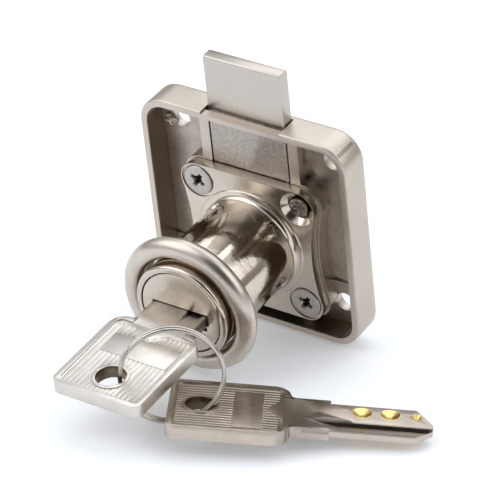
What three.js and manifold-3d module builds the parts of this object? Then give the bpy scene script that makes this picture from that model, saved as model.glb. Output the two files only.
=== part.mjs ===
// Surface-mounted drawer lock: a die-cast case with a sliding bolt, a pin tumbler cylinder,
// a loose trim ring, and two dimple keys on a split ring.
//
// Millimetres. +Z is the way the bolt shoots, -Y is the key side, +X is right seen from the key.
// The origin is on the cylinder's axis, in the plane of the case's open rim.
import * as THREE from 'three';
import { mergeVertices } from 'three/addons/utils/BufferGeometryUtils.js';
import Module from 'manifold-3d';

const wasm = await Module();
wasm.setup();

// ---- driving dimensions ----

const CASE_WIDTH = 41;
const CASE_HEIGHT = 41.2;
const CASE_DEPTH = 6.2;
const CASE_WALL = 1.3;
const CASE_FLOOR = 1.3;
const CASE_CORNER = 5;
const CASE_CENTRE_Z = 4;
const CASE_BACK_ROUND = 0.8;

const BOLT_WIDTH = 15.2;
const BOLT_THICKNESS = 2.4;
const BOLT_FRONT_Y = 2.2;
const BOLT_TOP_Z = 34.7;
const BOLT_LENGTH = 36;
const BOLT_CHAMFER = 0.4;
const BOLT_GAP = 0.25;
const CRANK_RADIUS = 5.05;
const CRANK_PIN_RADIUS = 1.2;
const CRANK_SLOT_HALF_HEIGHT = 2.45;

const MOUNT_HOLE_X = 15.2;
const MOUNT_HOLE_TOP_Z = 18.6;
const MOUNT_HOLE_LOW_Z = -10.8;
const MOUNT_HOLE_RADIUS = 1.8;
const PAD_SIZE = 8.6;
const PAD_RAISE = 0.4;

const RAIL_WIDTH = 1.9;
const FLANGE_FRONT_Y = 0.15;
const FLANGE_BACK_Y = 2;
const FLANGE_SCREW_X = 9.95;
const FLANGE_SCREW_Z = 9.85;
const FLANGE_LOBE = 3.45;
const FLANGE_WAIST_CONTROL_X = 10.85;
const BOSS_MARGIN = 0.35;
const SEAT_GAP = 0.1;

const BARREL_RADIUS = 9;
const BARREL_FRONT_Y = -22.05;
const BORE_RADIUS = 5.3;
const PLUG_RADIUS = 5.2;
const PLUG_HEAD_RADIUS = 7.7;
const PLUG_HEAD_BORE = 7.9;
const PLUG_HEAD_LENGTH = 2;
const DISC_RADIUS = 6.6;
const DISC_BORE = 6.8;
const DISC_FRONT_Y = 0.4;
const DISC_BACK_Y = 1.95;
const TAIL_SIDE = 4.2;

const DOWEL_Y = -2.4;
const DOWEL_RADIUS = 0.65;
const DOWEL_ANGLES = [128, -34];
const DOWEL_GROOVE_RADIUS = 4.5;

const RING_BORE = 9.2;
const RING_RADIUS = 13.15;
const RING_BACK_Y = -17.2;

const BOW_WIDTH = 17.2;
const BOW_LENGTH = 19.9;
const BOW_THICKNESS = 2.4;
const BOW_CORNER = 1.6;
const BOW_RECESS = 0.25;
const BLADE_THICKNESS = 2;
const NECK_WIDTH = 10.6;
const NECK_END = 26.5;
const BLADE_WIDTH = 8.2;
const BLADE_CORNER_END = 40.6;
const KEY_LENGTH = 43.4;
const KEY_HOLE_AT = 5.3;
const KEY_HOLE_RADIUS = 2.6;
const DIMPLES = [{ at: 31.7, radius: 1.5 }, { at: 36.3, radius: 1.5 }, { at: 40.6, radius: 0.9 }];
const DIMPLE_SIDE = 1.8;
const DIMPLE_DEPTH = 0.65;
const KEY_IN_LOCK_Y = -47.8;

const PIN_RADIUS = 0.9;
const CHAMBER_RADIUS = 1;
const DRIVER_END_Z = -6.3;
const SPRING_END_Z = -7.65;
const SPRING_RADIUS = 0.65;
const SPRING_WIRE = 0.12;
const CHAMBER_CAP_RADIUS = 1.3;

const SPLIT_RING_RADIUS = 8.5;
const SPLIT_RING_WIRE = 0.36;
const SPLIT_RING_LAYER = 0.41;
const SPLIT_RING_CENTRE = [8.3, -37.1, 0.35];
const SPLIT_RING_HEADING = -54.4;
const SPLIT_RING_LEAN = 10.2;
const SPLIT_RING_END_ANGLE = 142;
const LOOSE_KEY_PLACE = [7.49, -38.15, -5.91];
const LOOSE_KEY_HEADING = -61.3;
const LOOSE_KEY_PITCH = -7.8;
const LOOSE_KEY_ROLL = -12.7;

const CASE_LOW_Z = CASE_CENTRE_Z - CASE_HEIGHT / 2;
const CASE_TOP_Z = CASE_CENTRE_Z + CASE_HEIGHT / 2;
const FLOOR_Y = CASE_DEPTH - CASE_FLOOR;
const CHANNEL_HALF = BOLT_WIDTH / 2 + BOLT_GAP;
const PAST = 0.5;
const rad = THREE.MathUtils.degToRad;

// ---- materials ----

const satinNickel = new THREE.MeshStandardMaterial({ color: 0xb9b1a6, roughness: 0.42, metalness: 1 });
const castNickel = new THREE.MeshStandardMaterial({ color: 0xa89f92, roughness: 0.5, metalness: 1 });
const brightNickel = new THREE.MeshStandardMaterial({ color: 0xcfc6b8, roughness: 0.15, metalness: 1 });
const screwSteel = new THREE.MeshStandardMaterial({ color: 0xb4b0aa, roughness: 0.35, metalness: 1 });
const springSteel = new THREE.MeshStandardMaterial({ color: 0x8f8f90, roughness: 0.3, metalness: 1 });
const pinBrass = new THREE.MeshStandardMaterial({ color: 0xc9a24e, roughness: 0.3, metalness: 1 });

// ---- solids ----

// A closed solid from a three.js geometry: welded, without collapsed triangles, facing out.
function solid(geometry) {
  const bare = geometry.index ? geometry.toNonIndexed() : geometry.clone();
  bare.deleteAttribute('normal');
  bare.deleteAttribute('uv');
  const welded = mergeVertices(bare, 1e-4);
  const place = welded.attributes.position;
  const corners = [new THREE.Vector3(), new THREE.Vector3(), new THREE.Vector3()];
  const kept = [];
  let volume = 0;
  for (let i = 0; i < welded.index.count; i += 3) {
    const [a, b, c] = [0, 1, 2].map((k) => welded.index.getX(i + k));
    if (a === b || b === c || c === a) continue;
    [a, b, c].forEach((vertex, k) => corners[k].fromBufferAttribute(place, vertex));
    volume += corners[0].dot(corners[1].clone().cross(corners[2]));
    kept.push(a, b, c);
  }
  if (volume < 0) kept.reverse();
  return new wasm.Manifold(new wasm.Mesh({
    numProp: 3,
    vertProperties: new Float32Array(place.array),
    triVerts: new Uint32Array(kept),
  }));
}

// A named mesh of one solid, with flat facets.
function mesh(name, body, material) {
  const { vertProperties, triVerts } = body.getMesh();
  const indexed = new THREE.BufferGeometry();
  indexed.setAttribute('position', new THREE.BufferAttribute(new Float32Array(vertProperties), 3));
  indexed.setIndex(new THREE.BufferAttribute(new Uint32Array(triVerts), 1));
  const faceted = indexed.toNonIndexed();
  faceted.computeVertexNormals();
  const piece = new THREE.Mesh(faceted, material);
  piece.name = name;
  return piece;
}

function block(x0, x1, y0, y1, z0, z1) {
  const box = new THREE.BoxGeometry(x1 - x0, y1 - y0, z1 - z0);
  return solid(box.translate((x0 + x1) / 2, (y0 + y1) / 2, (z0 + z1) / 2));
}

// A round bar or cone along Y, from y0 to y1.
function roundY(radius0, radius1, y0, y1, x = 0, z = 0, sides = 32) {
  const bar = new THREE.CylinderGeometry(radius1, radius0, y1 - y0, sides);
  return solid(bar.translate(x, (y0 + y1) / 2, z));
}

// A round bar or cone along Z, from z0 to z1.
function roundZ(radius0, radius1, z0, z1, x = 0, y = 0, sides = 16) {
  const bar = new THREE.CylinderGeometry(radius1, radius0, z1 - z0, sides);
  return solid(bar.rotateX(Math.PI / 2).translate(x, y, (z0 + z1) / 2));
}

// A ring or spindle turned about Y, from [radius, y] points.
function turned(points, sides = 32) {
  return solid(new THREE.LatheGeometry(points.map(([r, y]) => new THREE.Vector2(r, y)), sides));
}

// An outline in X and Z, as a plate from y0 to y1.
function plateY(outline, y0, y1, curveSegments = 6) {
  const plate = new THREE.ExtrudeGeometry(outline, { depth: y1 - y0, bevelEnabled: false, curveSegments });
  return solid(plate.rotateX(Math.PI / 2).translate(0, y1, 0));
}

// An outline in X and Y, as a plate from z0 to z1.
function plateZ(outline, z0, z1, curveSegments = 3) {
  const plate = new THREE.ExtrudeGeometry(outline, { depth: z1 - z0, bevelEnabled: false, curveSegments });
  return solid(plate.translate(0, 0, z0));
}

function roundedBox(x0, x1, y0, y1, corner) {
  const outline = new THREE.Shape();
  outline.moveTo(x0 + corner, y0);
  outline.lineTo(x1 - corner, y0);
  outline.absarc(x1 - corner, y0 + corner, corner, -Math.PI / 2, 0, false);
  outline.lineTo(x1, y1 - corner);
  outline.absarc(x1 - corner, y1 - corner, corner, 0, Math.PI / 2, false);
  outline.lineTo(x0 + corner, y1);
  outline.absarc(x0 + corner, y1 - corner, corner, Math.PI / 2, Math.PI, false);
  outline.lineTo(x0, y0 + corner);
  outline.absarc(x0 + corner, y0 + corner, corner, Math.PI, 1.5 * Math.PI, false);
  return outline;
}

// The flange's outline: straight top and bottom, waisted sides, a lobe round each fastener.
function flangeOutline(margin) {
  const lobe = FLANGE_LOBE + margin;
  const tangent = rad(15);
  const outline = new THREE.Shape();
  const x = FLANGE_SCREW_X;
  const z = FLANGE_SCREW_Z;
  const waist = FLANGE_WAIST_CONTROL_X + margin;
  outline.moveTo(-x, -z - lobe);
  outline.lineTo(x, -z - lobe);
  outline.absarc(x, -z, lobe, -Math.PI / 2, tangent, false);
  outline.quadraticCurveTo(waist, 0, x + lobe * Math.cos(tangent), z - lobe * Math.sin(tangent));
  outline.absarc(x, z, lobe, -tangent, Math.PI / 2, false);
  outline.lineTo(-x, z + lobe);
  outline.absarc(-x, z, lobe, Math.PI / 2, Math.PI + tangent, false);
  outline.quadraticCurveTo(-waist, 0, -x - lobe * Math.cos(tangent), -z + lobe * Math.sin(tangent));
  outline.absarc(-x, -z, lobe, Math.PI - tangent, 1.5 * Math.PI, false);
  return outline;
}

// ---- case ----

function makeCase() {
  const half = CASE_WIDTH / 2;
  const outer = roundedBox(-half, half, CASE_LOW_Z, CASE_TOP_Z, CASE_CORNER);
  const inner = roundedBox(-half + CASE_WALL, half - CASE_WALL, CASE_LOW_Z + CASE_WALL,
    CASE_TOP_Z - CASE_WALL, CASE_CORNER - CASE_WALL);
  const rounded = new THREE.ExtrudeGeometry(outer, {
    depth: CASE_DEPTH - 2 * CASE_BACK_ROUND, bevelThickness: CASE_BACK_ROUND, bevelSize: CASE_BACK_ROUND,
    bevelOffset: -CASE_BACK_ROUND, bevelSegments: 2, curveSegments: 6,
  });
  let body = solid(rounded.rotateX(Math.PI / 2).translate(0, CASE_DEPTH - CASE_BACK_ROUND, 0));
  body = body.add(plateY(outer, 0, CASE_DEPTH / 2));
  body = body.subtract(plateY(inner, -PAST, FLOOR_Y));

  const pocket = plateY(inner, 0, CASE_DEPTH - 0.1);
  for (const side of [-1, 1]) {
    const railIn = side * CHANNEL_HALF;
    const railOut = side * (CHANNEL_HALF + RAIL_WIDTH);
    const rail = block(Math.min(railIn, railOut), Math.max(railIn, railOut),
      BOLT_FRONT_Y, FLOOR_Y + PAST, CASE_LOW_Z + CASE_WALL, CASE_TOP_Z - CASE_WALL / 2);
    body = body.add(rail);
    for (const [z, holeZ] of [[CASE_TOP_Z, MOUNT_HOLE_TOP_Z], [CASE_LOW_Z, MOUNT_HOLE_LOW_Z]]) {
      const inward = Math.sign(CASE_CENTRE_Z - z);
      const far = z + inward * (CASE_WALL + PAD_SIZE);
      const edge = side * half;
      const near = edge - side * (CASE_WALL + PAD_SIZE);
      const pad = block(Math.min(edge, near), Math.max(edge, near), FLOOR_Y - PAD_RAISE, FLOOR_Y + PAST,
        Math.min(z, far), Math.max(z, far));
      body = body.add(pad.intersect(pocket));
      body = body.subtract(roundY(MOUNT_HOLE_RADIUS, MOUNT_HOLE_RADIUS, FLOOR_Y - 1, CASE_DEPTH + 1,
        side * MOUNT_HOLE_X, holeZ, 16));
    }
  }
  const boss = plateY(flangeOutline(BOSS_MARGIN), FLANGE_BACK_Y + SEAT_GAP, FLOOR_Y + PAST);
  body = body.add(boss);
  const channel = block(-CHANNEL_HALF, CHANNEL_HALF, FLANGE_BACK_Y - PAST, FLOOR_Y,
    CASE_LOW_Z + CASE_WALL, CASE_TOP_Z + 1);
  body = body.subtract(channel);
  const notch = block(-CHANNEL_HALF, CHANNEL_HALF, -1, FLOOR_Y, CASE_TOP_Z - 0.35, CASE_TOP_Z + 1);
  body = body.subtract(notch);
  for (const side of [-1, 1]) {
    for (const end of [-1, 1]) {
      body = body.subtract(roundY(1.5, 1.5, 0, FLOOR_Y + 0.1, side * FLANGE_SCREW_X, end * FLANGE_SCREW_Z, 16));
    }
  }
  return mesh('case', body, castNickel);
}

// ---- sliding bolt ----

function makeBolt() {
  const back = BOLT_FRONT_Y + BOLT_THICKNESS;
  const half = BOLT_WIDTH / 2;
  const profile = new THREE.Shape();
  profile.moveTo(BOLT_FRONT_Y, BOLT_TOP_Z - BOLT_LENGTH);
  profile.lineTo(back, BOLT_TOP_Z - BOLT_LENGTH);
  profile.lineTo(back, BOLT_TOP_Z - BOLT_CHAMFER);
  profile.lineTo(back - BOLT_CHAMFER, BOLT_TOP_Z);
  profile.lineTo(BOLT_FRONT_Y + BOLT_CHAMFER, BOLT_TOP_Z);
  profile.lineTo(BOLT_FRONT_Y, BOLT_TOP_Z - BOLT_CHAMFER);
  const bar = new THREE.ExtrudeGeometry(profile, { depth: BOLT_WIDTH, bevelEnabled: false });
  bar.applyMatrix4(new THREE.Matrix4().set(0, 0, 1, -half, 1, 0, 0, 0, 0, 1, 0, 0, 0, 0, 0, 1));
  let body = solid(bar);
  const left = -CRANK_PIN_RADIUS - 0.4;
  const right = CRANK_RADIUS + CRANK_PIN_RADIUS + 0.4;
  body = body.subtract(block(left, right, BOLT_FRONT_Y - 1, back + 1,
    CRANK_RADIUS - CRANK_SLOT_HALF_HEIGHT, CRANK_RADIUS + CRANK_SLOT_HALF_HEIGHT));
  return mesh('bolt', body, satinNickel);
}

// ---- cylinder housing: flange, collar and barrel in one casting ----

function makeHousing() {
  let body = plateY(flangeOutline(0), FLANGE_FRONT_Y, FLANGE_BACK_Y);
  body = body.add(turned([[0, 1], [10.35, 1], [10.35, -0.2], [9.9, -0.95], [9.3, -1.15], [BARREL_RADIUS, -1.6],
    [BARREL_RADIUS, BARREL_FRONT_Y + 0.45], [PLUG_HEAD_BORE + 0.45, BARREL_FRONT_Y],
    [0, BARREL_FRONT_Y]], 40));
  body = body.subtract(roundY(BORE_RADIUS, BORE_RADIUS, BARREL_FRONT_Y - 1, FLANGE_BACK_Y + 1, 0, 0, 32));
  body = body.subtract(roundY(PLUG_HEAD_BORE, PLUG_HEAD_BORE, BARREL_FRONT_Y - 1,
    BARREL_FRONT_Y + PLUG_HEAD_LENGTH + 0.15, 0, 0, 32));
  body = body.subtract(roundY(DISC_BORE, DISC_BORE, DISC_FRONT_Y - 0.15, FLANGE_BACK_Y + 1, 0, 0, 32));
  for (const side of [-1, 1]) {
    for (const end of [-1, 1]) {
      const x = side * FLANGE_SCREW_X;
      const z = end * FLANGE_SCREW_Z;
      body = body.subtract(roundY(1.65, 1.65, FLANGE_FRONT_Y - 1, FLANGE_BACK_Y + 1, x, z, 16));
      body = body.subtract(roundY(3.1, 1.6, FLANGE_FRONT_Y - 0.01, FLANGE_FRONT_Y + 1.5, x, z, 16));
    }
  }
  for (const angle of DOWEL_ANGLES) body = body.subtract(dowel(angle, DOWEL_RADIUS + 0.05, BARREL_RADIUS + 1));
  for (const { at } of DIMPLES) {
    const y = KEY_IN_LOCK_Y + at;
    body = body.subtract(roundZ(CHAMBER_RADIUS, CHAMBER_RADIUS, -BARREL_RADIUS - 1, -4, DIMPLE_SIDE, y));
    body = body.subtract(roundZ(CHAMBER_CAP_RADIUS + 0.05, CHAMBER_CAP_RADIUS + 0.05, -BARREL_RADIUS - 1,
      SPRING_END_Z, DIMPLE_SIDE, y));
  }
  return mesh('cylinder_housing', body, brightNickel);
}

// A radial dowel that drops into the plug's groove.
function dowel(angle, radius, outerEnd) {
  const bar = new THREE.CylinderGeometry(radius, radius, outerEnd - DOWEL_GROOVE_RADIUS - 0.15, 14);
  bar.rotateZ(-Math.PI / 2).translate((outerEnd + DOWEL_GROOVE_RADIUS + 0.15) / 2, DOWEL_Y, 0);
  return solid(bar.rotateY(-rad(angle)));
}

// ---- plug and what turns with it ----

function makePlug() {
  const headBack = BARREL_FRONT_Y + PLUG_HEAD_LENGTH;
  let body = turned([[0, BARREL_FRONT_Y], [PLUG_HEAD_RADIUS, BARREL_FRONT_Y], [PLUG_HEAD_RADIUS, headBack],
    [PLUG_RADIUS, headBack], [PLUG_RADIUS, DOWEL_Y - 0.8], [DOWEL_GROOVE_RADIUS, DOWEL_Y - 0.8],
    [DOWEL_GROOVE_RADIUS, DOWEL_Y + 0.8], [PLUG_RADIUS, DOWEL_Y + 0.8], [PLUG_RADIUS, DISC_FRONT_Y - 0.15],
    [0, DISC_FRONT_Y - 0.15]]);
  const tail = TAIL_SIDE / 2;
  body = body.add(block(-tail, tail, DISC_FRONT_Y - 1, DISC_FRONT_Y + 0.65, -tail, tail));
  const mouth = NECK_WIDTH / 2 + 0.25;
  const slot = BLADE_WIDTH / 2 + 0.2;
  const high = BLADE_THICKNESS / 2 + 0.15;
  body = body.subtract(block(-mouth, mouth, BARREL_FRONT_Y - 1, KEY_IN_LOCK_Y + NECK_END + 0.3, -high, high));
  body = body.subtract(block(-slot, slot, BARREL_FRONT_Y - 1, KEY_IN_LOCK_Y + KEY_LENGTH + 0.3, -high, high));
  body = body.subtract(roundY(1.15, 1.15, -3, DISC_BACK_Y, 0, 0, 16));
  for (const { at } of DIMPLES) {
    const y = KEY_IN_LOCK_Y + at;
    body = body.subtract(roundZ(CHAMBER_RADIUS, CHAMBER_RADIUS, -PLUG_RADIUS - 1, -high / 2, DIMPLE_SIDE, y));
  }
  return mesh('plug', body, satinNickel);
}

function makeDriveDisc() {
  let body = roundY(DISC_RADIUS, DISC_RADIUS, DISC_FRONT_Y, DISC_BACK_Y, 0, 0, 36);
  body = body.add(roundY(CRANK_PIN_RADIUS, CRANK_PIN_RADIUS, DISC_BACK_Y - 0.5,
    BOLT_FRONT_Y + BOLT_THICKNESS - 0.1, 0, CRANK_RADIUS, 20));
  const square = TAIL_SIDE / 2 + 0.1;
  body = body.subtract(block(-square, square, DISC_FRONT_Y - 1, DISC_FRONT_Y + 1, -square, square));
  body = body.subtract(roundY(3.4, 3.4, DISC_FRONT_Y + 0.7, DISC_BACK_Y + 1, 0, 0, 24));
  return mesh('drive_disc', body, castNickel);
}

function makeDiscScrew() {
  let body = roundY(3.2, 3.2, DISC_FRONT_Y + 0.75, DISC_BACK_Y - 0.05, 0, 0, 24);
  body = body.add(roundY(1, 1.05, -2.6, DISC_FRONT_Y + 1, 0, 0, 16));
  body = body.subtract(block(-4, 4, DISC_BACK_Y - 0.5, DISC_BACK_Y + 1, -0.4, 0.4));
  return mesh('disc_screw', body, screwSteel);
}

// ---- pin stacks: key pin in the plug, driver and spring in the housing, cap outside ----

// A key pin is drawn lifted to the blade's face, clear of the dimple, so that the key can slide past it.
function makeKeyPin(number, y) {
  const tip = -BLADE_THICKNESS / 2 - 0.05;
  let body = roundZ(PIN_RADIUS, PIN_RADIUS, -PLUG_RADIUS - 1, tip - 0.6, DIMPLE_SIDE, y);
  body = body.add(roundZ(PIN_RADIUS, 0.3, tip - 0.6, tip, DIMPLE_SIDE, y));
  body = body.intersect(roundY(PLUG_RADIUS - 0.05, PLUG_RADIUS - 0.05, y - 2, y + 2, 0, 0, 40));
  return mesh(`key_pin_${number}`, body, pinBrass);
}

function makeDriverPin(number, y) {
  let body = roundZ(PIN_RADIUS, PIN_RADIUS, DRIVER_END_Z, -4, DIMPLE_SIDE, y);
  body = body.subtract(roundY(BORE_RADIUS + 0.05, BORE_RADIUS + 0.05, y - 2, y + 2, 0, 0, 40));
  return mesh(`driver_pin_${number}`, body, pinBrass);
}

class SpringLine extends THREE.Curve {
  constructor(y) {
    super();
    this.y = y;
  }

  getPoint(t, target = new THREE.Vector3()) {
    const angle = 2 * Math.PI * 3 * t;
    const low = SPRING_END_Z + SPRING_WIRE + 0.05;
    const high = DRIVER_END_Z - SPRING_WIRE - 0.05;
    return target.set(DIMPLE_SIDE + SPRING_RADIUS * Math.cos(angle), this.y + SPRING_RADIUS * Math.sin(angle),
      THREE.MathUtils.lerp(low, high, t));
  }
}

function makeSpring(number, y) {
  const section = new THREE.Shape().absarc(0, 0, SPRING_WIRE, 0, 2 * Math.PI, false);
  const wire = new THREE.ExtrudeGeometry(section, { steps: 30, curveSegments: 3, extrudePath: new SpringLine(y) });
  return mesh(`pin_spring_${number}`, solid(wire), springSteel);
}

function makeChamberCap(number, y) {
  let body = roundZ(CHAMBER_CAP_RADIUS, CHAMBER_CAP_RADIUS, -BARREL_RADIUS, SPRING_END_Z - 0.1, DIMPLE_SIDE, y);
  body = body.intersect(roundY(BARREL_RADIUS - 0.05, BARREL_RADIUS - 0.05, y - 2, y + 2, 0, 0, 48));
  return mesh(`chamber_cap_${number}`, body, brightNickel);
}

// ---- fasteners in the flange ----

function makeFlangeScrew(number, x, z) {
  const top = FLANGE_FRONT_Y + 0.05;
  let body = turned([[0, top], [2.9, top], [1.35, top + 1.45], [1.35, FLOOR_Y - 0.5], [0, FLOOR_Y - 0.1]], 24);
  const arm = 1.75;
  const half = 0.35;
  body = body.subtract(block(-arm, arm, top - 1, top + 0.9, -half, half));
  body = body.subtract(block(-half, half, top - 1, top + 0.9, -arm, arm));
  return mesh(`flange_screw_${number}`, body.rotate([0, 30, 0]).translate([x, 0, z]), screwSteel);
}

function makeFlangeRivet(number, x, z) {
  const top = FLANGE_FRONT_Y + 0.85;
  const body = turned([[0, top + 0.25], [0.5, top], [1.5, top + 0.1], [1.62, top + 0.4], [1.35, top + 0.7],
    [1.35, FLOOR_Y - 0.2], [0, FLOOR_Y - 0.2]], 20);
  return mesh(`flange_rivet_${number}`, body.translate([x, 0, z]), brightNickel);
}

// ---- trim ring: a spun, dished ring that slips over the barrel ----

function makeTrimRing() {
  return mesh('trim_ring', turned([
    [RING_BORE, RING_BACK_Y], [RING_BORE, -19.8], [9.75, -20.5], [10.9, -20.85], [12.2, -20.45],
    [RING_RADIUS, -19.2], [12.95, -18.3], [12.2, -18.1], [11.6, -19.3], [10.3, -19.6],
    [10.1, RING_BACK_Y], [RING_BORE, RING_BACK_Y]], 40), satinNickel);
}

// ---- keys ----

// A key lying flat: the bow's end at the origin, the tip toward +Y, the faces toward +Z and -Z.
// It is the same when turned over about its length, so both faces carry the same cuts.
function keySolid() {
  const half = BOW_WIDTH / 2;
  const thick = BOW_THICKNESS / 2;
  const blade = BLADE_THICKNESS / 2;
  let body = plateZ(roundedBox(-half, half, 0, BOW_LENGTH, BOW_CORNER), -thick, thick);
  const shank = new THREE.Shape();
  shank.moveTo(-NECK_WIDTH / 2, BOW_LENGTH - 1);
  shank.lineTo(NECK_WIDTH / 2, BOW_LENGTH - 1);
  shank.lineTo(NECK_WIDTH / 2, NECK_END);
  shank.lineTo(BLADE_WIDTH / 2, NECK_END + 0.2);
  shank.lineTo(BLADE_WIDTH / 2, BLADE_CORNER_END);
  shank.lineTo(0.9, KEY_LENGTH);
  shank.lineTo(-0.9, KEY_LENGTH);
  shank.lineTo(-BLADE_WIDTH / 2, BLADE_CORNER_END);
  shank.lineTo(-BLADE_WIDTH / 2, NECK_END + 0.2);
  shank.lineTo(-NECK_WIDTH / 2, NECK_END);
  body = body.add(plateZ(shank, -blade, blade));
  body = body.subtract(roundZ(KEY_HOLE_RADIUS, KEY_HOLE_RADIUS, -thick - 1, thick + 1, 0, KEY_HOLE_AT, 18));
  const border = 1;
  const face = plateZ(roundedBox(-half + border, half - border, border, BOW_LENGTH - border, BOW_CORNER - 0.6),
    thick - BOW_RECESS, thick + 1);
  const collar = roundZ(KEY_HOLE_RADIUS + 0.7, KEY_HOLE_RADIUS + 0.7, 0, thick + 1, 0, KEY_HOLE_AT, 18);
  let cut = face.subtract(collar);
  const groove = new THREE.Shape();
  groove.moveTo(1.3, blade + 0.3);
  groove.lineTo(1.3, blade);
  groove.lineTo(2.6, blade - 0.9);
  groove.lineTo(BLADE_WIDTH / 2, blade - 0.45);
  groove.lineTo(BLADE_WIDTH, blade - 0.45);
  groove.lineTo(BLADE_WIDTH, blade + 0.3);
  const valley = new THREE.ExtrudeGeometry(groove, { depth: KEY_LENGTH - NECK_END + 1, bevelEnabled: false });
  valley.rotateX(Math.PI / 2).scale(1, -1, 1).translate(0, NECK_END + 0.2, 0);
  cut = cut.add(solid(valley));
  for (const { at, radius } of DIMPLES) {
    cut = cut.add(roundZ(0.25 * radius, radius * 1.15, blade - DIMPLE_DEPTH, blade + 0.1, -DIMPLE_SIDE, at, 12));
  }
  body = body.subtract(cut);
  return body.subtract(cut.rotate([0, 180, 0]));
}

class SplitRingLine extends THREE.Curve {
  getPoint(t, target = new THREE.Vector3()) {
    const angle = rad(SPLIT_RING_END_ANGLE + 4) + t * rad(712);
    const change = THREE.MathUtils.smoothstep(t, 0.47, 0.53);
    const layer = SPLIT_RING_LAYER * (2 * change - 1);
    return target.set(SPLIT_RING_RADIUS * Math.cos(angle), SPLIT_RING_RADIUS * Math.sin(angle), layer);
  }
}

// The split ring stands nearly upright through both keys' holes.
function makeSplitRing() {
  const section = new THREE.Shape().absarc(0, 0, SPLIT_RING_WIRE, 0, 2 * Math.PI, false);
  const wire = new THREE.ExtrudeGeometry(section, { steps: 72, curveSegments: 4, extrudePath: new SplitRingLine() });
  const ring = mesh('split_ring', solid(wire), springSteel);
  ring.rotation.order = 'ZXY';
  ring.rotation.set(rad(90 - SPLIT_RING_LEAN), 0, rad(SPLIT_RING_HEADING + 90));
  ring.position.set(...SPLIT_RING_CENTRE);
  return ring;
}

// ---- assembly ----

const group = new THREE.Group();
group.add(makeCase(), makeBolt(), makeHousing(), makeTrimRing(), makePlug(), makeDriveDisc(), makeDiscScrew());
DOWEL_ANGLES.forEach((angle, i) => {
  group.add(mesh(`retaining_dowel_${i + 1}`, dowel(angle, DOWEL_RADIUS, BARREL_RADIUS - 0.25), screwSteel));
});
DIMPLES.forEach(({ at }, i) => {
  const y = KEY_IN_LOCK_Y + at;
  group.add(makeKeyPin(i + 1, y), makeDriverPin(i + 1, y), makeSpring(i + 1, y), makeChamberCap(i + 1, y));
});
[[-1, 1], [1, -1]].forEach(([side, end], i) => {
  group.add(makeFlangeScrew(i + 1, side * FLANGE_SCREW_X, end * FLANGE_SCREW_Z));
  group.add(makeFlangeRivet(i + 1, -side * FLANGE_SCREW_X, end * FLANGE_SCREW_Z));
});

const keyInLock = mesh('key_1', keySolid(), satinNickel);
keyInLock.position.set(0, KEY_IN_LOCK_Y, 0);
const looseKey = mesh('key_2', keySolid(), satinNickel);
looseKey.rotation.order = 'ZXY';
looseKey.rotation.set(rad(LOOSE_KEY_PITCH), rad(LOOSE_KEY_ROLL), rad(LOOSE_KEY_HEADING));
looseKey.position.set(...LOOSE_KEY_PLACE);
group.add(keyInLock, looseKey, makeSplitRing());

export default group;
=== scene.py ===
import math

import bmesh
import bpy
from mathutils import Matrix, Vector


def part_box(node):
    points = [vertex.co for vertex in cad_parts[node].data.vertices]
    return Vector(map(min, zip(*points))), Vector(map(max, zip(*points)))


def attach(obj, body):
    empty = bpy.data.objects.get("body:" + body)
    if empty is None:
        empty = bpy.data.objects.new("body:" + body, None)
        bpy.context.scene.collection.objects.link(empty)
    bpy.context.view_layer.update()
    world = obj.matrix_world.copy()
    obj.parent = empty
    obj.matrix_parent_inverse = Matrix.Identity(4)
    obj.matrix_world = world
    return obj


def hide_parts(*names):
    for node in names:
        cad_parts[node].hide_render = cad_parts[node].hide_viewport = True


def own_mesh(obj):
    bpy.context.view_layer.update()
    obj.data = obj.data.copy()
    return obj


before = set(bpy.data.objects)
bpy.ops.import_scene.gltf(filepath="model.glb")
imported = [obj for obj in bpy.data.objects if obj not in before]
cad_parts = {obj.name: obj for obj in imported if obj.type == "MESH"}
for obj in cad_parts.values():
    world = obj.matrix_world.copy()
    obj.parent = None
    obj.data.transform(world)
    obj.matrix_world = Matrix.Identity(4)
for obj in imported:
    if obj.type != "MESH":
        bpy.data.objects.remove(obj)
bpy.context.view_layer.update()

MM = 0.001


# ---- Table, lights and camera ----
# The lock stands on the lower edge of its case and the lower edge of its trim ring, so the table
# is tilted against the lock. White card, with three soft lights above it.

def clear():
    bpy.ops.object.select_all(action="DESELECT")


TABLE_UP = Vector((0, 0.171, 0.985)).normalized()
TABLE_HEIGHT = -16.9
clear()
bpy.ops.mesh.primitive_plane_add(size=4, location=TABLE_UP * TABLE_HEIGHT * MM,
                                 rotation=TABLE_UP.to_track_quat("Z", "Y").to_euler())
table = bpy.context.object
table.name = "table_card"
card = bpy.data.materials.new("white_card")
card.use_nodes = True
card_shader = card.node_tree.nodes["Principled BSDF"]
card_shader.inputs["Base Color"].default_value = (0.84, 0.85, 0.87, 1)
card_shader.inputs["Roughness"].default_value = 0.9
card_shader.inputs["Specular IOR Level"].default_value = 0
card_shader.inputs["Emission Color"].default_value = (0.94, 0.965, 1.0, 1)
card_shader.inputs["Emission Strength"].default_value = 0.22
table.data.materials.append(card)

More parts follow.
